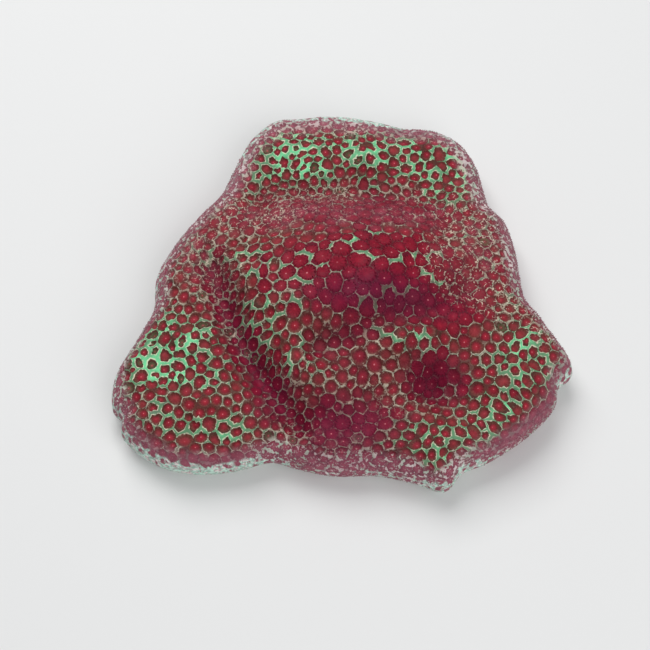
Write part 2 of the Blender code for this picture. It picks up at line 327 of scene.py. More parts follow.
def line_distance(x, y, line):
    """Distance from each place to a line of points."""
    nearest = np.full(np.shape(x), np.inf)
    for (ax, ay), (bx, by) in zip(line, line[1:]):
        length = (bx - ax) ** 2 + (by - ay) ** 2
        along = np.clip(((x - ax) * (bx - ax) + (y - ay) * (by - ay)) / length, 0, 1)
        apart = np.hypot(x - ax - along * (bx - ax), y - ay - along * (by - ay))
        nearest = np.minimum(nearest, apart)
    return nearest


def middle_distance(x, y, patch):
    """How far each place is from a patch's middle, squared, where its rim is at 1."""
    middle_x, middle_y, half_width, half_depth, _ = patch
    return ((x - middle_x) / half_width) ** 2 + ((y - middle_y) / half_depth) ** 2


def dome_share(x, y):
    return np.exp(-(middle_distance(x, y, DOME) ** DOME_FLATNESS))


def one_fold(x, y, half_width, line):
    """1 at the bottom of a fold, falling to 0 beside it."""
    return np.exp(-((line_distance(x, y, line) / half_width) ** 2))


def fold_share(x, y, deeper_is_more=False):
    """The strongest fold at each place. Each counts in full, or by its depth as a share of the deepest."""
    deepest = max(depth for depth, _, _ in FOLDS)
    share = np.zeros(np.shape(x))
    for depth, half_width, line in FOLDS:
        near = one_fold(x, y, half_width, line)
        share = np.maximum(share, near * depth / deepest if deeper_is_more else near)
    return share


def top_height(x, y):
    height = PLATEAU_HEIGHT + PLATEAU_CLIMB * y + DOME[4] * dome_share(x, y)
    for lump in LUMPS:
        height = height + lump[4] * np.exp(-middle_distance(x, y, lump))
    for depth, half_width, line in FOLDS:
        height = height - depth * one_fold(x, y, half_width, line)
    for rise, length, bearing, shift in SWELLS:
        east, north = math.cos(math.radians(bearing)), math.sin(math.radians(bearing))
        along = x * east + y * north
        across = y * east - x * north
        phase = 2 * math.pi * along / length + math.radians(shift)
        height = height + rise * np.sin(phase + np.sin(2 * math.pi * across / length))
    return height


def sharp_share(bearing):
    """1 where the shoulder is sharpest, falling to 0 to either side."""
    turn = 2 * math.pi
    apart = np.mod(bearing - math.radians(SHARP_BEARING) + math.pi, turn) - math.pi
    return np.exp(-((apart / math.radians(SHARP_HALF_WIDTH)) ** 2))


def roll_length():
    """Length of the quarter ellipse that the edge rolls over."""
    return math.pi / 2 * ROLL_WIDTH


def under_length():
    return math.hypot(LIP_HEIGHT, UNDERCUT)


def sheet_reach(bearing):
    """Reach of the skin when it is laid out flat: the plan, then the roll, then the underturn."""
    return outline_reach(bearing) - ROLL_WIDTH + roll_length() + under_length()


def skin_places(flat_x, flat_y):
    """Places on the smooth skin, in millimetres, for places on the skin laid out flat."""
    bearing = np.arctan2(flat_y, flat_x)
    travel = np.hypot(flat_x, flat_y)
    back = np.sin(bearing)
    width = ROLL_WIDTH + ROLL_WIDER_AT_BACK * back
    lip = LIP_HEIGHT + LIP_HIGHER_AT_BACK * back
    reach = outline_reach(bearing)
    roll_start = reach - ROLL_WIDTH
    inner = roll_start * UNSTRETCHED_SHARE
    stretch = (reach - width - inner) / (roll_start - inner)
    plan = np.where(travel > inner, inner + (travel - inner) * stretch, travel)
    past = np.clip((travel - roll_start) / roll_length(), 0, 1)
    under = np.clip((travel - roll_start - roll_length()) / under_length(), 0, 1)
    angle = past * math.pi / 2
    square = 1 - SHOULDER_SHARPNESS * sharp_share(bearing)
    plan = np.where(past > 0, reach - width + width * np.sin(angle) ** square, plan)
    x = plan * np.cos(bearing)
    y = plan * np.sin(bearing)
    top = top_height(x, y)
    z = lip + (top - lip) * np.cos(angle).clip(0, 1) ** square
    plan = plan - UNDERCUT * under**2
    z = z - lip * under
    return np.stack([plan * np.cos(bearing), plan * np.sin(bearing), z], axis=-1)


def unit(vectors):
    return vectors / np.linalg.norm(vectors, axis=-1, keepdims=True)


def skin_normals(flat_x, flat_y):
    east = skin_places(flat_x + SLOPE_STEP, flat_y) - skin_places(flat_x - SLOPE_STEP, flat_y)
    north = skin_places(flat_x, flat_y + SLOPE_STEP) - skin_places(flat_x, flat_y - SLOPE_STEP)
    return unit(np.cross(east, north))


def cup_pitch(flat_x, flat_y):
    x, y, _ = skin_places(flat_x, flat_y).T
    return CUP_PITCH + DOME_EXTRA_PITCH * dome_share(x, y) - FOLD_LESS_PITCH * fold_share(x, y)


def scatter_cups():
    """Middles of the cups on the skin laid out flat: well spaced, then settled amid their own room."""
    draw = np.random.default_rng(SEED)
    widest = max(reach for _, reach in OUTLINE) + roll_length() + under_length()
    ticks = np.arange(-widest, widest, SAMPLE_PITCH)
    flat_x, flat_y = (side.ravel() for side in np.meshgrid(ticks, ticks))
    flat_x = flat_x + draw.uniform(-0.5, 0.5, flat_x.size) * SAMPLE_PITCH
    flat_y = flat_y + draw.uniform(-0.5, 0.5, flat_y.size) * SAMPLE_PITCH
    inside = np.hypot(flat_x, flat_y) < sheet_reach(np.arctan2(flat_y, flat_x)) - EDGE_CLEARANCE
    flat_x, flat_y = flat_x[inside], flat_y[inside]
    places = skin_places(flat_x, flat_y)
    pitch = cup_pitch(flat_x, flat_y)
    free = np.ones(len(places), bool)
    chosen = []
    for index in draw.permutation(len(places)):
        if free[index]:
            chosen.append(index)
            apart = ((places - places[index]) ** 2).sum(axis=1)
            free &= apart > (CLOSEST_SHARE * pitch[index]) ** 2
    cups = np.stack([flat_x[chosen], flat_y[chosen]], axis=1)
    for _ in range(SETTLING_ROUNDS):
        tree = kdtree.KDTree(len(cups))
        for index, place in enumerate(skin_places(*cups.T)):
            tree.insert(place, index)
        tree.balance()
        owner = np.array([tree.find(place)[1] for place in places])
        weight = 1 / pitch**2
        total = np.bincount(owner, weight, len(cups))
        cups[:, 0] = np.bincount(owner, weight * flat_x, len(cups)) / total
        cups[:, 1] = np.bincount(owner, weight * flat_y, len(cups)) / total
    return cups


def base_ring():
    """The cut's outline on the skin laid out flat."""
    bearings = np.arange(BASE_POINTS) * 2 * math.pi / BASE_POINTS
    reach = sheet_reach(bearings)
    return np.stack([reach * np.cos(bearings), reach * np.sin(bearings)], axis=1)


def net_between(flat, ring_start):
    """Triangles between the places, inside the ring of the last BASE_POINTS of them."""
    edges = [(ring_start + k, ring_start + (k + 1) % BASE_POINTS) for k in range(BASE_POINTS)]
    points = [Vector(place) for place in flat]
    places, _, triangles, origin, _, _ = geometry.delaunay_2d_cdt(points, edges, [], 1, 1e-6)
    if len(places) != len(flat):
        raise ValueError("two places of the net are one")
    order = [origins[0] for origins in origin]
    return [tuple(order[corner] for corner in triangle) for triangle in triangles]


def rows_beside_streaks(cups):
    """The same cups, moved a little so that none sits on a streak: they stand in rows on both sides of it."""
    cups = cups.copy()
    before, after = ROW_ENDS
    for _ in range(ROW_ROUNDS):
        pitch = cup_pitch(*cups.T)
        x, y, _ = skin_places(*cups.T).T
        for ax, ay, bx, by in STREAKS:
            length = math.hypot(bx - ax, by - ay)
            along = ((x - ax) * (bx - ax) + (y - ay) * (by - ay)) / length
            across = ((bx - ax) * (y - ay) - (by - ay) * (x - ax)) / length
            beside = smooth_step(along, before, after) * smooth_step(along, length - before, length - after)
            wanted = ROW_DISTANCE * pitch
            push = ROW_PUSH * np.maximum(wanted - np.abs(across), 0) * np.sign(across) * beside
            cups[:, 0] += push * (ay - by) / length
            cups[:, 1] += push * (bx - ax) / length
        apart = cups[:, None, :] - cups[None, :, :]
        gap = np.hypot(apart[..., 0], apart[..., 1]) + np.eye(len(cups)) * FAR_APART
        lack = np.maximum(ROW_CLOSEST * (pitch[:, None] + pitch[None, :]) / 2 - gap, 0) * ROW_EASING
        cups += (apart * (lack / gap)[..., None]).sum(axis=1)
    return cups


def patch_strength(x, y, patches):
    """The strongest of the patches at each place, fading out at each one's rim."""
    strength = np.zeros(np.shape(x))
    for patch in patches:
        spread = middle_distance(x, y, patch)
        strength = np.maximum(strength, patch[4] * np.exp(-(spread**PATCH_FLATNESS)))
    return strength


def spread_strength(x, y, edge):
    """How spread the polyps are at each place, from drawn in to touching."""
    strength = np.maximum(patch_strength(x, y, SPREAD_PATCHES), FOLD_SPREAD * fold_share(x, y, True))
    return np.maximum(strength, smooth_step(edge, *EDGE_SPREAD_ROLL))


def stretch_strength(bearing, stretches, power):
    """The strongest of the stretches of edge at each bearing. More power makes their ends steeper."""
    strength = np.zeros(len(bearing))
    for middle, half_width, most in stretches:
        apart = np.mod(bearing - middle + 180, 360) - 180
        strength = np.maximum(strength, most * np.exp(-((apart / half_width) ** power)))
    return strength


def pale_edge_share(flat, edge):
    """Where the steep edge is bare and pale, and at the back a painted rim of light."""
    bearing = np.degrees(np.arctan2(flat[:, 1], flat[:, 0]))
    start = PALE_FROM - PALE_SOONER_AT_BACK * np.sin(np.radians(bearing))
    return stretch_strength(bearing, PALE_EDGES, 2) * smooth_step((edge - start) / PALE_FADE, 0, 1)


def speck_share(flat, edge):
    """How many pale specks the shoulder shows: fewer where the polyps stand out over them."""
    bearing = np.degrees(np.arctan2(flat[:, 1], flat[:, 0]))
    hidden = stretch_strength(bearing, VELVET_EDGES, 4)
    return 1 - hidden * (1 - smooth_step(edge, *VELVET_ENDS))


def streak_share(x, y):
    """1 on a green streak, falling to 0 beside it."""
    share = np.zeros(np.shape(x))
    for ax, ay, bx, by in STREAKS:
        apart = line_distance(x, y, ((ax, ay), (bx, by)))
        share = np.maximum(share, np.exp(-((apart / STREAK_REACH) ** 4)))
    return share


def cluster_wave(x, y):
    """From about -1, where the webs are wide open, to 1, where most polyps touch."""
    waves = sum(np.sin(across * x + along * y + phase) for across, along, phase in CLUSTER_WAVES)
    return (waves / 2).clip(-1, 1)


def smooth_step(value, start, end):
    share = np.clip((value - start) / (end - start), 0, 1)
    return share * share * (3 - 2 * share)


def share_of_roll(flat_x, flat_y):
    """0 where the edge starts to roll over and 1 at the widest line, less and more on either side."""
    roll_start = outline_reach(np.arctan2(flat_y, flat_x)) - ROLL_WIDTH
    return (np.hypot(flat_x, flat_y) - roll_start) / roll_length()


def edge_share(flat_x, flat_y):
    """0 on the top, climbing to 1 at the widest line and beyond."""
    return np.clip(share_of_roll(flat_x, flat_y), 0, 1)


def mauve_sheen_edge_share(flat_x, flat_y):
    """How mauve the flesh is by its nearness to the edge: painted sheen of the skin seen edge on, over a
    dusty tone.
    """
    sooner = MAUVE_SHEEN_SOONER_AT_BACK * np.sin(np.arctan2(flat_y, flat_x)).clip(0) ** 2
    return smooth_step(share_of_roll(flat_x, flat_y) + sooner, *MAUVE_SHEEN_ROLL)


class SkinMesh:
    """Vertices gathered by their places on the skin laid out flat, with what the materials read from each."""

    def __init__(self):
        self.flat = []
        self.lift = []
        self.web = []
        self.faces = []
        self.marks = []

    def add(self, flat, lift, web):
        """One vertex: its flat place, its height over the skin, and (web share, web half width, spread)."""
        self.flat.append(flat)
        self.lift.append(lift)
        self.web.append(web)
        return len(self.flat) - 1

    def ring(self, places, lifts, web_shares, half_widths, spread):
        """Vertices with one spread for all."""
        webs = [(share, half_width, spread) for share, half_width in zip(web_shares, half_widths)]
        return [self.add(*vertex) for vertex in zip(places, lifts, webs)]

    def face(self, corners, marks):
        """A face with a mark for each corner: (east, north) from the cup's middle in radii, and its tone."""
        self.faces.append(corners)
        self.marks.extend(marks)


def disc_marks(compass, shares, tone):
    """The marks of a ring of vertices at these shares of the disc's radius."""
    return [(*place, tone) for place in compass * np.reshape(shares, (-1, 1))]


def web_half_widths(corners, mids, mid_corners, by_closed, draw):
    """Half the web's width at each corner between three cups and at each place midway between two."""

    def region(flat):
        x, y, _ = skin_places(*flat.T).T
        edge = edge_share(*flat.T)
        green = patch_strength(x, y, GREEN_PATCHES).clip(0, MOST_GREEN)
        green = green * (1 - smooth_step(edge, *GREEN_WEB_ENDS))
        return green, streak_share(x, y), spread_strength(x, y, edge), cluster_wave(x, y)

    green, streak, spread, cluster = region(mids)
    touching_share = TOUCHING_SHARE + TOUCHING_MORE_WHERE_SPREAD * spread + CLUSTER_TOUCHING * cluster
    touching = draw.uniform(size=len(mids)) < touching_share
    touching &= ~by_closed
    width = THREAD_HALF_WIDTH + GREEN_HALF_WIDTH * green
    width = width * np.exp(draw.normal(0, WIDTH_VARIANCE, len(mids)))
    width = width * np.exp(-CLUSTER_WIDTH * cluster)
    mid_width = np.where(touching, TOUCHING_HALF_WIDTH, width)
    streak_width = STREAK_HALF_WIDTH * streak * draw.uniform(*STREAK_MID_WIDTHS, len(mids))
    mid_width = np.maximum(mid_width, streak_width)

    # A corner is as wide as the webs that meet there. Its spot is more likely and wider in the green.
    green, streak, spread, cluster = region(corners)
    total = np.zeros(len(corners))
    count = np.zeros(len(corners))
    for side in (0, 1):
        np.add.at(total, mid_corners[:, side], mid_width)
        np.add.at(count, mid_corners[:, side], 1)
    corner_width = total / count.clip(1)
    at_none, more_in_green = CORNER_SPOT_IN_GREEN
    spot_share = CORNER_SPOT_SHARE * (at_none + more_in_green * green)
    spot_share = spot_share * (1 - CORNER_SPOT_LESS_WHERE_SPREAD * spread) * (1 - CLUSTER_SPOTS * cluster)
    spot = draw.uniform(size=len(corners)) < spot_share
    spots = spot * CORNER_SPOT_HALF_WIDTH * draw.uniform(*CORNER_SPOT_WIDTHS, len(corners))
    at_none, more_in_green = CORNER_SPOT_WIDTH_IN_GREEN
    corner_width = np.maximum(corner_width, spots * (at_none + more_in_green * green))
    streak_width = STREAK_HALF_WIDTH * streak * draw.uniform(*STREAK_CORNER_WIDTHS, len(corners))
    return np.maximum(corner_width, streak_width), mid_width


def net_links(triangles):
    """The triangle on the left of each side (start, end), its third corner, and a neighbour of each place."""
    beside = {}
    third = {}
    neighbour = {}
    for index, (a, b, c) in enumerate(triangles):
        for start, end, other in ((a, b, c), (b, c, a), (c, a, b)):
            beside[start, end] = index
            third[start, end] = other
            neighbour[start] = end
    return beside, third, neighbour


def crest_round(cup, beside, third, neighbour, mid_vertex):
    """The crest round a cup: in turn a corner between three cups and a place midway between two."""
    crest = []
    end = neighbour[cup]
    while True:
        crest.append(beside[end, cup])
        crest.append(mid_vertex[cup, end])
        end = third[cup, end]
        if end == neighbour[cup]:
            return crest


def build_skin():
    cups = rows_beside_streaks(scatter_cups())
    cup_count = len(cups)
    flat = np.concatenate([cups, base_ring()])
    triangles = net_between(flat, cup_count)
    corners = np.array([flat[list(triangle)].mean(axis=0) for triangle in triangles])
    draw = np.random.default_rng(SEED + 1)

    cup_places = skin_places(*cups.T)
    cup_x, cup_y, _ = cup_places.T
    closed_chance = CLOSED_CUP_SHARE * patch_strength(cup_x, cup_y, GREEN_PATCHES).clip(0, 1)
    closed_chance = closed_chance + patch_strength(cup_x, cup_y, CLOSED_PATCHES)
    closed = draw.uniform(size=cup_count) < closed_chance

    # The crest's vertices come first: a corner in each triangle, then a place midway between each two.
    beside, third, neighbour = net_links(triangles)
    mid_vertex = {}
    mid_corners = []
    by_closed = []
    for (start, end), left in beside.items():
        right = beside.get((end, start))
        if right is not None and start < end:
            mid_vertex[start, end] = mid_vertex[end, start] = len(corners) + len(mid_corners)
            mid_corners.append((left, right))
            by_closed.append(any(cup < cup_count and closed[cup] for cup in (start, end)))
    mid_corners = np.array(mid_corners)
    mids = (corners[mid_corners[:, 0]] + corners[mid_corners[:, 1]]) / 2
    corner_width, mid_width = web_half_widths(corners, mids, mid_corners, np.array(by_closed), draw)
    half_width = np.concatenate([corner_width, mid_width])
    openness = smooth_step(half_width, OPEN_FROM, OPEN_FULLY)
    open_lift = THREAD_LIFT + LIFT_PER_HALF_WIDTH * half_width
    crest_lift = TOUCHING_LIFT + (open_lift - TOUCHING_LIFT) * openness
    crest_flat = np.concatenate([corners, mids])
    crest_places = skin_places(*crest_flat.T)

    cup_edge = edge_share(*cups.T)
    spread = spread_strength(cup_x, cup_y, cup_edge) + draw.normal(0, SPREAD_VARIANCE, cup_count)
    spread = smooth_step(spread, *SPREAD_LIMITS)
    bare = pale_edge_share(cups, cup_edge)

    skin = SkinMesh()
    skin.ring(crest_flat, crest_lift, np.ones(len(crest_flat)), half_width, CREST_SPREAD)
    polyps = []
    for cup in range(cup_count):
        crest_vertices = crest_round(cup, beside, third, neighbour, mid_vertex)
        crest = np.array(crest_vertices)
        reach = np.linalg.norm(crest_places[crest] - cup_places[cup], axis=1)
        room = reach - half_width[crest]
        size = 1 - SIZE_VARIANCE * draw.uniform() * (1 - SPREAD_EVENNESS * spread[cup])
        tone = draw.uniform()
        if closed[cup]:
            size = CLOSED_CUP_SIZE
            tone = CLOSED_TONE
        radius = np.minimum(room, room.mean() * ROUND_LIMIT) * size
        radius = (np.roll(radius, 1) + 2 * radius + np.roll(radius, -1)) / 4
        radius = np.minimum(radius, room)
        spokes = crest_flat[crest] - cups[cup]
        share_at_rim = radius / reach
        polyps.append((cups[cup], spokes, share_at_rim, radius, spread[cup], tone, bare[cup]))

        # Rings from the middle out. At the rim of the disc the web begins, and it ends on the crest.
        at_rim = 1 - (reach - radius) / half_width[crest].clip(THREAD_HALF_WIDTH)
        levels = []
        for (share, low), (_, high) in zip(DRAWN_IN_PROFILE, SPREAD_PROFILE):
            height = low + (high - low) * spread[cup]
            if share == 0:
                middle = skin.add(cups[cup], height * radius.mean(), (0.0, 0.0, spread[cup]))
                continue
            web_share = at_rim if share == 1 else at_rim.clip(max=0)
            levels.append((share, share * share_at_rim, height * radius, web_share))
        if (reach - radius).mean() > WIDE_SLOPE:
            out = (share_at_rim + 1) / 2
            levels.append(((1 + reach / radius) / 2, out, SLOPE_LIFT * crest_lift[crest], (1 + at_rim) / 2))
        turn = np.arctan2(spokes[:, 1], spokes[:, 0])
        compass = np.stack([np.cos(turn), np.sin(turn)], axis=1)
        rings = []
        for share, out, lift, web_share in levels:
            places = cups[cup] + spokes * out[:, None]
            vertices = skin.ring(places, lift, web_share, half_width[crest], spread[cup])
            rings.append((vertices, disc_marks(compass, share, tone)))
        rings.append((crest_vertices, disc_marks(compass, reach / radius, tone)))
        inner, inner_marks = rings[0]
        sides = [(k, (k + 1) % len(crest)) for k in range(len(crest))]
        for k, after in sides:
            marks = ((0.0, 0.0, tone), inner_marks[k], inner_marks[after])
            skin.face((middle, inner[k], inner[after]), marks)
        for (inner, inner_marks), (outer, outer_marks) in zip(rings, rings[1:]):
            for k, after in sides:
                marks = (inner_marks[k], outer_marks[k], outer_marks[after], inner_marks[after])
                skin.face((inner[k], outer[k], outer[after], inner[after]), marks)

    # The skirt of plain web that runs down to the cut.
    rim_vertex = {}
    for index in range(cup_count, len(flat)):
        rim_vertex[index] = skin.add(flat[index], 0.0, (1.0, THREAD_HALF_WIDTH, CREST_SPREAD))
    for (start, end), left in beside.items():
        if start < cup_count:
            continue
        right = beside.get((end, start))
        if right is None:
            skin.face((rim_vertex[start], rim_vertex[end], left), (PLAIN_MARK,) * 3)
        else:
            middle = mid_vertex[start, end]
            skin.face((rim_vertex[start], right, middle), (PLAIN_MARK,) * 3)
            skin.face((rim_vertex[start], middle, left), (PLAIN_MARK,) * 3)
    return skin, flat, cup_count, corners, polyps


def packed_middle(flat, cup_count, corners):
    """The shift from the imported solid's place to the form's own, read from the solid's box."""
    low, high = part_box(NODE_NAME)
    webs = skin_places(*corners.T) + CAD_WEB_HEIGHT * skin_normals(*corners.T)
    everything = np.concatenate([skin_places(*flat.T)[:cup_count], webs])
    middle = (everything.min(axis=0) + everything.max(axis=0)) / 2
    return np.array([middle[0] - (low[0] + high[0]) / 2 / MM, middle[1] - (low[1] + high[1]) / 2 / MM, 0])


def region_values(flat, places):
    """(green, edge, magenta painted shade, mauve painted sheen, pale edge, specks) at each vertex."""
    edge = edge_share(*flat.T)
    x, y, _ = places.T
    top = 1 - smooth_step(edge, *TOP_ENDS)
    green = patch_strength(x, y, GREEN_PATCHES) * top
    green = np.maximum(green, STREAK_GREEN * streak_share(x, y) * top)
    # Dark magenta in the folds and hollows: painted shade, darker in deeper folds, over the flesh's own tone.
    magenta_shade = np.maximum(FOLD_MAGENTA_SHADE * fold_share(x, y, True), patch_strength(x, y, MAGENTA_SHADE_PATCHES)) * top
    # Mauve on the shoulders and far slopes: painted sheen of the skin seen edge on, over a dusty tone.
    mauve_sheen = np.maximum(patch_strength(x, y, MAUVE_SHEEN_PATCHES), mauve_sheen_edge_share(*flat.T))
    specks = speck_share(flat, edge) + patch_strength(x, y, WHISKER_PATCHES)
    return green, edge, magenta_shade, mauve_sheen, pale_edge_share(flat, edge), specks


def add_vectors(mesh, name, values, domain="POINT"):
    layer = mesh.attributes.new(name, "FLOAT_VECTOR", domain)
    layer.data.foreach_set("vector", np.asarray(values, np.float32).ravel())


def mesh_object(name, places, faces, materials):
    mesh = bpy.data.meshes.new(name)
    mesh.from_pydata(places.tolist(), [], faces)
    for material in materials:
        mesh.materials.append(material)
    mesh.shade_smooth()
    piece = bpy.data.objects.new(name, mesh)
    bpy.context.scene.collection.objects.link(piece)
    return piece


def cut_face(ring_places):
    """The cut across the skeleton: places and triangles of a flat face with the shallow pores of old cups."""
    draw = np.random.default_rng(SEED + 2)
    ticks = np.arange(-CUT_REACH, CUT_REACH, PORE_PITCH)
    pore_x, pore_y = (side.ravel() for side in np.meshgrid(ticks, ticks))
    pore_x = pore_x + draw.uniform(-PORE_SHIFT, PORE_SHIFT, pore_x.size) * PORE_PITCH
    pore_y = pore_y + draw.uniform(-PORE_SHIFT, PORE_SHIFT, pore_y.size) * PORE_PITCH
    reach = outline_reach(np.arctan2(pore_y, pore_x)) - UNDERCUT - PORE_MARGIN
    inside = np.hypot(pore_x, pore_y) < reach
    pores = np.stack([pore_x[inside], pore_y[inside]], axis=1)
    triangles = net_between(np.concatenate([pores, ring_places]), len(pores))
    heights = draw.uniform(0.0, PORE_DEPTH, len(pores))
    return np.column_stack([pores, heights]), triangles


def make_skin(skin, shift, materials):
    flat = np.array(skin.flat)
    places = skin_places(*flat.T)
    green, edge, magenta_shade, mauve_sheen, pale, specks = region_values(flat, places)
    places = places + skin_normals(*flat.T) * np.array(skin.lift)[:, None]
    places[:, 2] = places[:, 2].clip(0.0)
    ring_first = len(places) - BASE_POINTS
    places[ring_first:, 2] = 0.0

    pores, cut_triangles = cut_face(places[ring_first:, :2])
    faces = list(skin.faces)
    marks = list(skin.marks)
    for triangle in cut_triangles:
        corners = [len(places) + k if k < len(pores) else ring_first + k - len(pores) for k in triangle]
        faces.append(tuple(reversed(corners)))
        marks.extend([PLAIN_MARK] * 3)

    everything = (np.concatenate([places, pores]) - shift) * MM
    colony = mesh_object("coral_skin", everything, faces, materials)
    mesh = colony.data
    on_cut = np.arange(len(faces)) >= len(skin.faces)
    mesh.polygons.foreach_set("material_index", on_cut.astype(np.int32))
    flat_faces = mesh.attributes.new("sharp_face", "BOOLEAN", "FACE")
    flat_faces.data.foreach_set("value", on_cut)

    add_vectors(mesh, "cup_place", marks, "CORNER")
    for name, values in (
        ("web_form", np.array(skin.web)),
        ("region", np.stack([green, edge, magenta_shade], axis=1)),
        ("bloom", np.stack([mauve_sheen, pale, specks], axis=1)),
    ):
        add_vectors(mesh, name, np.concatenate([values, np.zeros((len(pores), 3))]))
    return colony


def make_tentacles(polyps, shift, material):
    """Twelve small tapered tentacles round each spread polyp, in one mesh."""
    draw = np.random.default_rng(SEED + 3)
    base_flat = []
    outward_flat = []
    lift = []
    size = []
    tone = []
    for cup, spokes, share_at_rim, radius, spread, cup_tone, bare in polyps:
        if spread < LEAST_SPREAD or cup_tone > 1 or bare > MOST_BARE:
            continue
        count = len(spokes)
        rim = spokes * share_at_rim[:, None]
        for k in range(TENTACLE_COUNT):
            at = (k + draw.uniform(-TENTACLE_SHIFT, TENTACLE_SHIFT)) * count / TENTACLE_COUNT
            first = int(at) % count
            second = (first + 1) % count
            part = at - math.floor(at)
            spoke = rim[first] * (1 - part) + rim[second] * part
            reach = radius[first] * (1 - part) + radius[second] * part
            base_flat.append(cup + spoke * TENTACLE_SHARE)
            outward_flat.append(cup + spoke * (TENTACLE_SHARE + OUTWARD_STEP))
            lift.append(TENTACLE_LIFT * reach * spread)
            at_none, more_if_spread = TENTACLE_IF_SPREAD
            size.append(reach * draw.uniform(*TENTACLE_SIZES) * (at_none + more_if_spread * spread))
            tone.append(cup_tone)
    base_flat = np.array(base_flat)
    size = np.array(size)
    total = len(size)

    # Each leans outward over the web and bends back up towards its tip.
    base = skin_places(*base_flat.T)
    normal = skin_normals(*base_flat.T)
    outward = unit(skin_places(*np.array(outward_flat).T) - base)
    side = np.cross(normal, outward)
    lean = TENTACLE_LEAN + draw.uniform(-TENTACLE_VARIANCE, TENTACLE_VARIANCE, total)
    sway = draw.uniform(-TENTACLE_SWAY, TENTACLE_SWAY, total)
    aim = unit(normal + outward * lean[:, None] + side * sway[:, None])
    bend = unit(aim + normal * TENTACLE_BEND)
    green, edge, magenta_shade, mauve_sheen, _, _ = region_values(base_flat, base)
    length = TENTACLE_LENGTH * size * (1 - TENTACLE_SHORTER_AT_EDGE * edge)
    half_width = TENTACLE_HALF_WIDTH * size.clip(TENTACLE_LEAST_SIZE)
    root = base + normal * (np.array(lift) - TENTACLE_ROOT_DEPTH)[:, None]
    across = unit(np.cross(aim, normal + 0.01))
    other = np.cross(aim, across)

    points = []
    tips = []
    for along, thickness in TENTACLE_LEVELS:
        middle = root + aim * (along * length)[:, None]
        for turn in range(TENTACLE_SIDES):
            angle = turn * 2 * math.pi / TENTACLE_SIDES
            spoke = across * math.cos(angle) + other * math.sin(angle)
            points.append(middle + spoke * (half_width * thickness)[:, None])
            tips.append(along)
    points.append(middle + bend * ((1 - along) * length)[:, None])
    tips.append(1.0)
    per = len(points)
    places = (np.stack(points, axis=1).reshape(-1, 3) - shift) * MM
    places[:, 2] = places[:, 2].clip(0.0)
    faces = []
    for root_first in range(0, total * per, per):
        upper_first = root_first + TENTACLE_SIDES
        for turn in range(TENTACLE_SIDES):
            after = (turn + 1) % TENTACLE_SIDES
            faces.append((root_first + turn, root_first + after, upper_first + after, upper_first + turn))
            faces.append((upper_first + turn, upper_first + after, root_first + per - 1))
    tentacles = mesh_object("coral_tentacles", places, faces, [material])
    form = np.stack([np.tile(tips, total), np.repeat(tone, per), np.repeat(mauve_sheen, per)], axis=1)
    add_vectors(tentacles.data, "tentacle_form", form)
    add_vectors(tentacles.data, "region", np.repeat(np.stack([green, edge, magenta_shade], axis=1), per, axis=0))
    return tentacles


def socket_group(name, inputs, outputs):
    """An empty node group with named sockets: inputs are (name, kind, value), outputs are (name, kind)."""
    tree = bpy.data.node_groups.new(name, "ShaderNodeTree")
    for label, kind, value in inputs:
        socket = tree.interface.new_socket(label, in_out="INPUT", socket_type=kind)
        if value is not None:
            socket.default_value = value
    for label, kind in outputs:
        tree.interface.new_socket(label, in_out="OUTPUT", socket_type=kind)
    entry = tree.nodes.new("NodeGroupInput")
    exit_node = tree.nodes.new("NodeGroupOutput")
    return tree, entry.outputs, exit_node.inputs


def join(tree, value, socket):
    """Links an output to a socket, or sets the socket to a plain value."""
    if isinstance(value, bpy.types.NodeSocket):
        tree.links.new(value, socket)
    elif value is not None:
        socket.default_value = value


def sum_node(tree, operation, first, second=None, third=None):
    node = tree.nodes.new("ShaderNodeMath")
    node.operation = operation
    for socket, value in zip(node.inputs, (first, second, third)):
        join(tree, value, socket)
    return node.outputs[0]


def times(tree, product, *factors):
    for factor in factors:
        product = sum_node(tree, "MULTIPLY", product, factor)
    return product


def times_plus(tree, first, second, more):
    """The first two multiplied, and the third added."""
    return sum_node(tree, "MULTIPLY_ADD", first, second, more)


def fade(tree, value, start, end):
    """0 below start and 1 above end, with a smooth way between. With start over end it runs the other way."""
    node = tree.nodes.new("ShaderNodeMapRange")
    node.interpolation_type = "SMOOTHSTEP"
    low, high = (start, end) if start < end else (end, start)
    join(tree, value, node.inputs["Value"])
    node.inputs["From Min"].default_value = low
    node.inputs["From Max"].default_value = high
    node.inputs["To Min"].default_value = 0.0 if start < end else 1.0
    node.inputs["To Max"].default_value = 1.0 if start < end else 0.0
    return node.outputs["Result"]


def mix_colours(tree, share, first, second, kind="MIX"):
    node = tree.nodes.new("ShaderNodeMix")
    node.data_type = "RGBA"
    node.blend_type = kind
    join(tree, share, node.inputs["Factor"])
    join(tree, first, node.inputs[6])
    join(tree, second, node.inputs[7])
    return node.outputs[2]


def lay_over(tree, colour, *layers):
    """A colour with others laid over it in turn: (share, colour)."""
    for share, layer in layers:
        colour = mix_colours(tree, share, colour, layer)
    return colour


def noise_value(tree, place, scale, detail=2.0, roughness=0.5):
    node = tree.nodes.new("ShaderNodeTexNoise")
    join(tree, place, node.inputs["Vector"])
    join(tree, scale, node.inputs["Scale"])
    node.inputs["Detail"].default_value = detail
    node.inputs["Roughness"].default_value = roughness
    return node.outputs["Fac"]


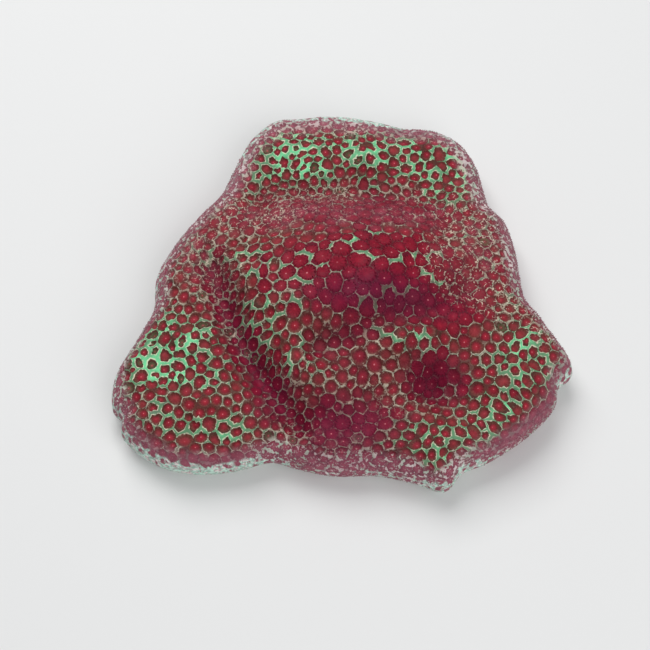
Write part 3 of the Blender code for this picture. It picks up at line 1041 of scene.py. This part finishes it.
def grain_group():
    """Fine mineral and mucus grain as a height, at a size that the material gives."""
    tree, given, out = socket_group(
        "fine_grain",
        (
            ("Place", "NodeSocketVector", None),
            ("Grain Scale", "NodeSocketFloat", 2500.0),
            ("Grit", "NodeSocketFloat", 0.5),
        ),
        (("Height", "NodeSocketFloat"), ("Mottle", "NodeSocketFloat")),
    )
    fine = noise_value(tree, given["Place"], given["Grain Scale"], 3.0, 0.6)
    coarse_scale = times(tree, given["Grain Scale"], 0.16)
    coarse = noise_value(tree, given["Place"], coarse_scale, 2.0, 0.55)
    grit = times(tree, fine, given["Grit"])
    join(tree, sum_node(tree, "ADD", grit, coarse), out["Height"])
    join(tree, coarse, out["Mottle"])
    return tree


def place_group(tree, group, **values):
    node = tree.nodes.new("ShaderNodeGroup")
    node.node_tree = group
    for label, value in values.items():
        join(tree, value, node.inputs[label.replace("_", " ")])
    return node.outputs


def new_material(name):
    material = bpy.data.materials.new(name)
    material.use_nodes = True
    tree = material.node_tree
    shader = tree.nodes["Principled BSDF"]
    place = tree.nodes.new("ShaderNodeTexCoord").outputs["Object"]
    return material, tree, shader, place


def attribute(tree, name):
    """The three values of a vector that the mesh carries."""
    node = tree.nodes.new("ShaderNodeAttribute")
    node.attribute_name = name
    parts = tree.nodes.new("ShaderNodeSeparateXYZ")
    join(tree, node.outputs["Vector"], parts.inputs[0])
    return parts.outputs


def soft_gloss(shader, specular):
    shader.inputs["Specular IOR Level"].default_value = specular
    shader.inputs["Sheen Weight"].default_value = SHEEN_WEIGHT
    shader.inputs["Sheen Roughness"].default_value = SHEEN_ROUGHNESS
    shader.inputs["Sheen Tint"].default_value = SHEEN_TINT


def add_bump(tree, shader, height, strength, distance):
    bump = tree.nodes.new("ShaderNodeBump")
    bump.inputs["Strength"].default_value = strength
    bump.inputs["Distance"].default_value = distance
    join(tree, height, bump.inputs["Height"])
    join(tree, bump.outputs[0], shader.inputs["Normal"])


# Colours of the living skin, as linear light.
CRIMSON = (0.216, 0.006, 0.021, 1)
CRIMSON_LIT = (0.390, 0.012, 0.030, 1)
CRIMSON_DULL = (0.230, 0.042, 0.040, 1)
OLIVE_BROWN = (0.150, 0.046, 0.034, 1)
# Dark brown between drawn-in polyps: darker flesh with painted shade of the groove.
GAP_SHADE_BROWN = (0.080, 0.030, 0.021, 1)
OLIVE_GREEN = (0.098, 0.084, 0.042, 1)
MOUTH_PINK = (0.640, 0.200, 0.230, 1)
TOUCHING_RED = (0.130, 0.005, 0.018, 1)
# A dark magenta laid over the folds and hollows: painted shade over the flesh's deeper tone.
MAGENTA_SHADE = (0.112, 0.004, 0.032, 1)
# A dusty mauve laid over the shoulders, mostly painted sheen of the skin seen edge on.
MAUVE_SHEEN = (0.325, 0.119, 0.168, 1)
MINT_DULL = (0.130, 0.200, 0.130, 1)
MINT = (0.120, 0.265, 0.140, 1)
MINT_BRIGHT = (0.170, 0.620, 0.300, 1)
THREAD_CREAM = (0.840, 0.740, 0.570, 1)
THREAD_GREY_GREEN = (0.240, 0.235, 0.175, 1)
THREAD_BEIGE = (0.600, 0.545, 0.405, 1)
EDGE_PALE = (0.780, 0.690, 0.670, 1)
EDGE_MINT = (0.540, 0.780, 0.660, 1)
SPECK_MINT = (0.520, 0.640, 0.520, 1)
SPECK_PINK = (0.660, 0.420, 0.400, 1)
HAZE_ROSE = (0.190, 0.058, 0.055, 1)
SKELETON_CREAM = (0.640, 0.560, 0.440, 1)
SKELETON_SHADE = (0.330, 0.260, 0.180, 1)


# The soft bloom that the flesh has where it is seen edge on, and how glossy the skin and the tentacles are.
SHEEN_WEIGHT = 0.06
SHEEN_ROUGHNESS = 0.35
SHEEN_TINT = (1.0, 0.80, 0.90, 1)
SKIN_SPECULAR = 0.13
TENTACLE_SPECULAR = 0.18

# The fineness of each pattern, as the scale of its noise or cells. The grain is the finest.
PATCH_SCALE = 330.0
BLOTCH_SCALE = 210.0
CROWD_SCALE = 130.0
UNEVEN_SCALE = 1700.0
SPECK_SCALE = 1500.0
DOT_SCALE = 1150.0
FINE_DOT_SCALE = 2300.0
STREAKY_SCALE = 760.0
UPRIGHT_STRETCH = (1.0, 1.0, 0.22)
WHISKER_SCALE = 780.0
WHISKER_BREAK_SCALE = 1250.0
SKELETON_CELL_SCALE = 640.0
SKIN_GRAIN = 3200.0
TENTACLE_GRAIN = 4200.0
SKELETON_GRAIN = 1600.0

# The relief of the grain: (strength, depth in metres).
SKIN_BUMP = (0.4, 0.00012)
SKELETON_BUMP = (0.7, 0.0003)


def tint_group():
    """Lays the colony's regions over a colour: magenta as painted shade in the folds, mauve as painted sheen
    on the shoulders, and a mottle.
    """
    tree, given, out = socket_group(
        "colony_tint",
        (
            ("Colour", "NodeSocketColor", None),
            ("Magenta Share", "NodeSocketFloat", 0.0),
            ("Mauve Share", "NodeSocketFloat", 0.0),
            ("Mottle", "NodeSocketFloat", 0.5),
            ("Mottle Depth", "NodeSocketFloat", 0.6),
        ),
        (("Colour", "NodeSocketColor"),),
    )
    regions = ((given["Mauve Share"], MAUVE_SHEEN), (given["Magenta Share"], MAGENTA_SHADE))
    colour = lay_over(tree, given["Colour"], *regions)
    low = times_plus(tree, given["Mottle Depth"], -0.5, 1.0)
    shade = times_plus(tree, given["Mottle"], given["Mottle Depth"], low)
    join(tree, mix_colours(tree, 1.0, colour, shade, "MULTIPLY"), out["Colour"])
    return tree


def disc_flesh(tree, radius, ragged, wave, uneven, tone, spread, drawn_in):
    """The colour of the discs, the share of their mouths and the height of their twelve folds.

    A disc is crimson with a bright middle, darker and browner towards its rim, and has a pale pink mouth. The
    bright middle is painted light on the cushion, and the darker rim is brown flesh with painted shadow of
    the cup's wall.
    """
    # Painted light on the middle of the cushion, less where the polyp is spread.
    painted_middle_light = times(tree, fade(tree, ragged, 0.62, 0.05), times_plus(tree, spread, -0.60, 0.9))
    dullness = times(tree, times_plus(tree, fade(tree, tone, 0.55, 0.05), 0.45, 0.22), drawn_in)
    rim = mix_colours(tree, spread, OLIVE_BROWN, TOUCHING_RED)
    # Brown flesh with painted shadow of the cup's wall towards the rim.
    brown_from = times_plus(tree, drawn_in, 0.22, sum_node(tree, "SUBTRACT", ragged, 0.09))
    rim_shade_and_browning = times(tree, fade(tree, brown_from, 0.66, 1.06), fade(tree, tone, -1.0, 0.5))
    closed = times_plus(tree, fade(tree, radius, 0.10, 0.65), 0.50, 0.42)
    closed = times(tree, closed, fade(tree, tone, 1.2, 1.4))
    mouth = times(tree, fade(tree, radius, 0.13, 0.05), fade(tree, tone, 0.1, 0.9))
    flesh = lay_over(
        tree,
        CRIMSON,
        (painted_middle_light, CRIMSON_LIT),
        (dullness, CRIMSON_DULL),
        (rim_shade_and_browning, rim),
        (closed, OLIVE_GREEN),
        (mouth, MOUTH_PINK),
    )
    folds = times(tree, wave, fade(tree, radius, 0.2, 0.7))
    shade = times_plus(tree, folds, 0.10, times_plus(tree, uneven, 0.9, 0.55))
    return mix_colours(tree, 1.0, flesh, shade, "MULTIPLY"), mouth, folds


def web_cloth(tree, place, patch, mauve_sheen, green, crest, half_width, drawn_in):
    """The colour of the web, and how green it is.

    It is crimson where the polyps touch, a pale thread where it is thin, and mint where it is wide and green.
    """
    speck = noise_value(tree, place, SPECK_SCALE, 2.0, 0.6)
    wide = fade(tree, half_width, 0.09, 0.26)
    lean = times_plus(tree, green, 0.60, times(tree, wide, 0.35))
    greenness = fade(tree, times_plus(tree, patch, 1.5, lean), 0.92, 1.32)
    glow = times_plus(tree, green, 0.35, times(tree, wide, 0.40))
    glow = times_plus(tree, noise_value(tree, place, BLOTCH_SCALE, 2.0, 0.6), 1.6, glow)
    bright = fade(tree, times_plus(tree, speck, 0.5, glow), 1.62, 2.15)
    mint = mix_colours(tree, fade(tree, green, 0.35, 0.85), MINT_DULL, MINT)
    mint = mix_colours(tree, bright, mint, MINT_BRIGHT)
    creaminess = fade(tree, times_plus(tree, mauve_sheen, 0.7, patch), 0.60, 0.96)
    pale_thread = mix_colours(tree, creaminess, THREAD_GREY_GREEN, THREAD_BEIGE)
    thread = times(tree, fade(tree, crest, 0.45, 0.92), fade(tree, speck, 0.48, 0.58))
    thread = times(tree, thread, fade(tree, wide, 1.0, 0.25), fade(tree, mauve_sheen, 1.1, 0.2), 0.85)
    # A cream line round the cup where the web is wide: painted highlight on the cup's raised rim.
    cup_rim_highlight = times(tree, fade(tree, crest, 0.55, 0.15), fade(tree, speck, 0.38, 0.54))
    cup_rim_highlight = times(tree, cup_rim_highlight, times(tree, wide, 0.75))
    cloth = lay_over(tree, pale_thread, (greenness, mint), (thread, THREAD_CREAM), (cup_rim_highlight, THREAD_CREAM))
    openness = fade(tree, half_width, OPEN_FROM, OPEN_FULLY)
    open_web = fade(tree, times_plus(tree, speck, 0.6, openness), 0.45, 0.85)
    sharpness = times_plus(tree, fade(tree, mauve_sheen, 0.45, 0.85), -0.55, 1.0)
    open_web = times(tree, open_web, fade(tree, crest, -0.25, 0.05), sharpness)
    # Where polyps touch, the web is deep red between spread polyps and dark brown between drawn-in ones:
    # darker flesh with painted shade of the groove between them.
    gap = mix_colours(tree, drawn_in, TOUCHING_RED, GAP_SHADE_BROWN)
    return mix_colours(tree, open_web, gap, cloth), greenness


def pale_specks(tree, place, outward, dot, fine_dot, rim_dust, mauve_sheen, speck_strength):
    """The share of pale specks all along the shoulders and on the rims of drawn-in discs, and of whiskers.

    Whiskers are short broken lines, where the mesh gives more than the full strength of the specks.
    """
    crowd = times_plus(tree, noise_value(tree, place, CROWD_SCALE, 1.0), 0.22, -0.11)
    crowd = sum_node(tree, "ADD", crowd, outward)
    dots = fade(tree, sum_node(tree, "ADD", dot, crowd), 0.555, 0.610)
    specks = sum_node(tree, "MAXIMUM", dots, times(tree, fade(tree, fine_dot, 0.56, 0.64), 0.6))
    # On the shoulders the specks lie where the painted sheen is: pale tips of flesh, partly painted glints.
    sheen_and_disc_rims = sum_node(tree, "MAXIMUM", fade(tree, mauve_sheen, 0.10, 0.70), rim_dust)
    pale = times(tree, sheen_and_disc_rims, specks, sum_node(tree, "MINIMUM", speck_strength, 1.0))
    contour = noise_value(tree, place, WHISKER_SCALE, 1.0)
    contour = sum_node(tree, "ABSOLUTE", sum_node(tree, "SUBTRACT", contour, 0.5))
    broken = times_plus(tree, outward, 0.8, noise_value(tree, place, WHISKER_BREAK_SCALE, 1.0))
    broken = fade(tree, broken, 0.46, 0.53)
    whiskers = times(tree, fade(tree, contour, 0.032, 0.012), broken, fade(tree, speck_strength, 1.0, 1.45))
    return sum_node(tree, "MAXIMUM", pale, whiskers)


def bare_streaks(tree, place, outward, dot, uneven, bare_edge):
    """The share and the colour of the bare mint-white streaks that run down the steep edge."""
    upright = tree.nodes.new("ShaderNodeVectorMath")
    upright.operation = "MULTIPLY"
    join(tree, place, upright.inputs[0])
    upright.inputs[1].default_value = UPRIGHT_STRETCH
    streaky = noise_value(tree, upright.outputs[0], STREAKY_SCALE, 3.0, 0.60)
    bare_from = times_plus(tree, outward, 1.3, times_plus(tree, bare_edge, 0.20, streaky))
    bare = times(tree, fade(tree, bare_from, 0.50, 0.64), fade(tree, bare_edge, 0.05, 0.40), 0.90)
    colour = mix_colours(tree, fade(tree, dot, 0.36, 0.54), EDGE_PALE, EDGE_MINT)
    shade = times_plus(tree, fade(tree, uneven, 0.35, 0.65), 0.55, 0.60)
    return bare, mix_colours(tree, 1.0, colour, shade, "MULTIPLY")


def living_tissue(grain, tint):
    material, tree, shader, place = new_material("living_tissue")
    cup_east, cup_north, tone = attribute(tree, "cup_place")
    green, edge, magenta_shade = attribute(tree, "region")
    crest, half_width, spread = attribute(tree, "web_form")
    mauve_sheen_share, bare_edge, speck_strength = attribute(tree, "bloom")
    patch = noise_value(tree, place, PATCH_SCALE, 2.0, 0.6)
    uneven = noise_value(tree, place, UNEVEN_SCALE)
    dot = noise_value(tree, place, DOT_SCALE, 1.0)
    fine_dot = noise_value(tree, place, FINE_DOT_SCALE, 2.0, 0.6)
    grains = place_group(tree, grain, Place=place, Grain_Scale=SKIN_GRAIN, Grit=0.6)
    # The mauve share is painted sheen of the skin seen edge on, over a dusty tone.
    mauve_sheen = fade(tree, times_plus(tree, patch, 0.7, mauve_sheen_share), 0.38, 1.25)
    drawn_in = fade(tree, spread, 0.9, 0.1)

    # How far out from its cup's middle each point lies, 1 at the disc's rim. Twelve folds of flesh notch it.
    squares = times_plus(tree, cup_east, cup_east, times(tree, cup_north, cup_north))
    radius = sum_node(tree, "SQRT", squares)
    turn = sum_node(tree, "ARCTAN2", cup_north, cup_east)
    wave_turn = times_plus(tree, turn, TENTACLE_COUNT, times(tree, tone, 6.0))
    wave = sum_node(tree, "SINE", wave_turn)
    ragged = times_plus(tree, uneven, 0.34, sum_node(tree, "SUBTRACT", radius, 0.17))
    ragged = times_plus(tree, wave, 0.035, ragged)
    disc = fade(tree, ragged, 1.08, 0.96)
    outward = times_plus(tree, fade(tree, radius, 0.45, 1.0), 0.15, -0.11)

    flesh, mouth, folds = disc_flesh(tree, radius, ragged, wave, uneven, tone, spread, drawn_in)
    cloth, greenness = web_cloth(tree, place, patch, mauve_sheen, green, crest, half_width, drawn_in)
    # The folds' magenta is painted shade, and the shoulders' mauve is painted sheen.
    tinted = place_group(
        tree,
        tint,
        Colour=mix_colours(tree, disc, cloth, flesh),
        Magenta_Share=times(tree, magenta_shade, 0.78),
        Mauve_Share=times(tree, mauve_sheen, 0.60),
        Mottle=grains["Mottle"],
        Mottle_Depth=0.7,
    )["Colour"]

    # Over the tinted skin lie a haze, the specks, the bare streaks, and in the folds the mouths, over the
    # painted shade.
    haze = times(tree, fade(tree, fine_dot, 0.34, 0.62), fade(tree, speck_strength, 1.0, 1.5), 0.35)
    rim_dust = times(tree, fade(tree, radius, 0.80, 1.00), times(tree, drawn_in, 0.60))
    rim_dust = times(tree, rim_dust, fade(tree, greenness, 1.0, 0.2))
    pale = pale_specks(tree, place, outward, dot, fine_dot, rim_dust, mauve_sheen, speck_strength)
    # Stronger towards the edge: painted rim light round the outline.
    pale = times(tree, pale, times_plus(tree, edge, 0.35, 0.60))
    speck_colour = mix_colours(tree, fade(tree, patch, 0.42, 0.62), EDGE_PALE, SPECK_MINT)
    top_speck = mix_colours(tree, fade(tree, mauve_sheen, 0.9, 0.3), SPECK_PINK, THREAD_CREAM)
    speck_colour = mix_colours(tree, fade(tree, edge, 0.05, 0.40), top_speck, speck_colour)
    shown_mouth = times(tree, mouth, fade(tree, magenta_shade, 0.10, 0.50), 0.85)
    finished = lay_over(
        tree,
        tinted,
        (haze, HAZE_ROSE),
        (pale, speck_colour),
        bare_streaks(tree, place, outward, dot, uneven, bare_edge),
        (shown_mouth, MOUTH_PINK),
    )
    join(tree, finished, shader.inputs["Base Color"])
    join(tree, times_plus(tree, disc, -0.10, 0.62), shader.inputs["Roughness"])
    soft_gloss(shader, SKIN_SPECULAR)
    add_bump(tree, shader, times_plus(tree, folds, 0.35, grains["Height"]), *SKIN_BUMP)
    return material


def tentacle_flesh(grain, tint):
    material, tree, shader, place = new_material("tentacle_flesh")
    tip, tone, mauve_sheen = attribute(tree, "tentacle_form")
    _, _, magenta_shade = attribute(tree, "region")
    grains = place_group(tree, grain, Place=place, Grain_Scale=TENTACLE_GRAIN, Grit=0.4)
    body = mix_colours(tree, tone, CRIMSON, TOUCHING_RED)
    # Tips are pale in places, more where the painted sheen is.
    paling = times(tree, fade(tree, tip, 0.5, 1.0), fade(tree, grains["Mottle"], 0.50, 0.60))
    paling = times(tree, paling, times_plus(tree, mauve_sheen, 0.65, 0.15))
    colour = mix_colours(tree, paling, body, EDGE_PALE)
    # Magenta as painted shade in the folds, and mauve as painted sheen, as on the skin.
    tinted = place_group(
        tree,
        tint,
        Colour=colour,
        Magenta_Share=times(tree, magenta_shade, 0.7),
        Mauve_Share=times(tree, mauve_sheen, 0.6),
        Mottle=grains["Mottle"],
        Mottle_Depth=0.5,
    )["Colour"]
    join(tree, tinted, shader.inputs["Base Color"])
    join(tree, times_plus(tree, tip, -0.15, 0.60), shader.inputs["Roughness"])
    soft_gloss(shader, TENTACLE_SPECULAR)
    return material


def bare_skeleton(grain):
    material, tree, shader, place = new_material("bare_skeleton")
    grains = place_group(tree, grain, Place=place, Grain_Scale=SKELETON_GRAIN, Grit=1.0)
    cells = tree.nodes.new("ShaderNodeTexVoronoi")
    cells.feature = "F1"
    join(tree, place, cells.inputs["Vector"])
    cells.inputs["Scale"].default_value = SKELETON_CELL_SCALE
    pit = fade(tree, cells.outputs["Distance"], 0.46, 0.20)
    colour = mix_colours(tree, times(tree, pit, 0.85), SKELETON_CREAM, SKELETON_SHADE)
    shade = times_plus(tree, grains["Mottle"], 0.6, 0.7)
    join(tree, mix_colours(tree, 1.0, colour, shade, "MULTIPLY"), shader.inputs["Base Color"])
    shader.inputs["Roughness"].default_value = 0.85
    add_bump(tree, shader, sum_node(tree, "SUBTRACT", grains["Height"], pit), *SKELETON_BUMP)
    return material


# The studio, in metres: a pale floor, dim cool light from all round, and lamps aimed at the colony, given as
# (name, place, width, power).
FLOOR_SIZE = 4.0
FLOOR_COLOUR = (0.78, 0.78, 0.77, 1)
FLOOR_ROUGHNESS = 0.9
ROOM_COLOUR = (0.92, 0.95, 1.0, 1)
ROOM_STRENGTH = 0.30
LAMPS = (
    ("back_softbox", (-0.16, 0.34, 0.55), 0.45, 3.1),
    ("front_fill", (0.30, -0.40, 0.48), 0.60, 2.3),
)
LAMP_AIM = (0, 0, 0.01)


def set_studio():
    bpy.ops.mesh.primitive_plane_add(size=FLOOR_SIZE, location=(0, 0, 0))
    floor = bpy.context.object
    floor.name = "studio_floor"
    material, _, shader, _ = new_material("studio_floor")
    shader.inputs["Base Color"].default_value = FLOOR_COLOUR
    shader.inputs["Roughness"].default_value = FLOOR_ROUGHNESS
    floor.data.materials.append(material)

    world = bpy.data.worlds.new("soft_room")
    world.use_nodes = True
    background = world.node_tree.nodes["Background"]
    background.inputs["Color"].default_value = ROOM_COLOUR
    background.inputs["Strength"].default_value = ROOM_STRENGTH
    bpy.context.scene.world = world

    for name, place, width, power in LAMPS:
        lamp = bpy.data.lights.new(name, "AREA")
        lamp.size = width
        lamp.energy = power
        lamp_object = bpy.data.objects.new(name, lamp)
        lamp_object.location = place
        aim = Vector(LAMP_AIM) - Vector(place)
        lamp_object.rotation_euler = aim.to_track_quat("-Z", "Y").to_euler()
        bpy.context.scene.collection.objects.link(lamp_object)


# The camera looks down at the front: degrees over the level, lens and distance in millimetres, and its aim in
# the form's own millimetres.
CAMERA_ELEVATION = 66.0
CAMERA_LENS = 80.0
CAMERA_SENSOR = 36.0
CAMERA_DISTANCE = 298.0
CAMERA_AIM = (-3.3, -7.8, 8.0)


def set_camera(shift):
    lens = bpy.data.cameras.new("photo_camera")
    lens.lens = CAMERA_LENS
    lens.sensor_width = CAMERA_SENSOR
    lens.clip_start = 0.01
    camera = bpy.data.objects.new("photo_camera", lens)
    elevation = math.radians(CAMERA_ELEVATION)
    back = Vector((0, -math.cos(elevation), math.sin(elevation)))
    aim = (Vector(CAMERA_AIM) - Vector(shift)) * MM
    camera.location = aim + back * (CAMERA_DISTANCE * MM)
    camera.rotation_euler = (-back).to_track_quat("-Z", "Y").to_euler()
    bpy.context.scene.collection.objects.link(camera)
    bpy.context.scene.camera = camera


def main():
    grain = grain_group()
    tint = tint_group()
    materials = (living_tissue(grain, tint), bare_skeleton(grain))
    skin, flat, cup_count, corners, polyps = build_skin()
    shift = packed_middle(flat, cup_count, corners)
    colony = make_skin(skin, shift, materials)
    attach(colony, "root")
    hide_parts(NODE_NAME)
    tentacles = make_tentacles(polyps, shift, tentacle_flesh(grain, tint))
    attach(tentacles, "root")
    set_studio()
    set_camera(shift)
    bpy.context.scene.view_settings.view_transform = "Standard"


main()
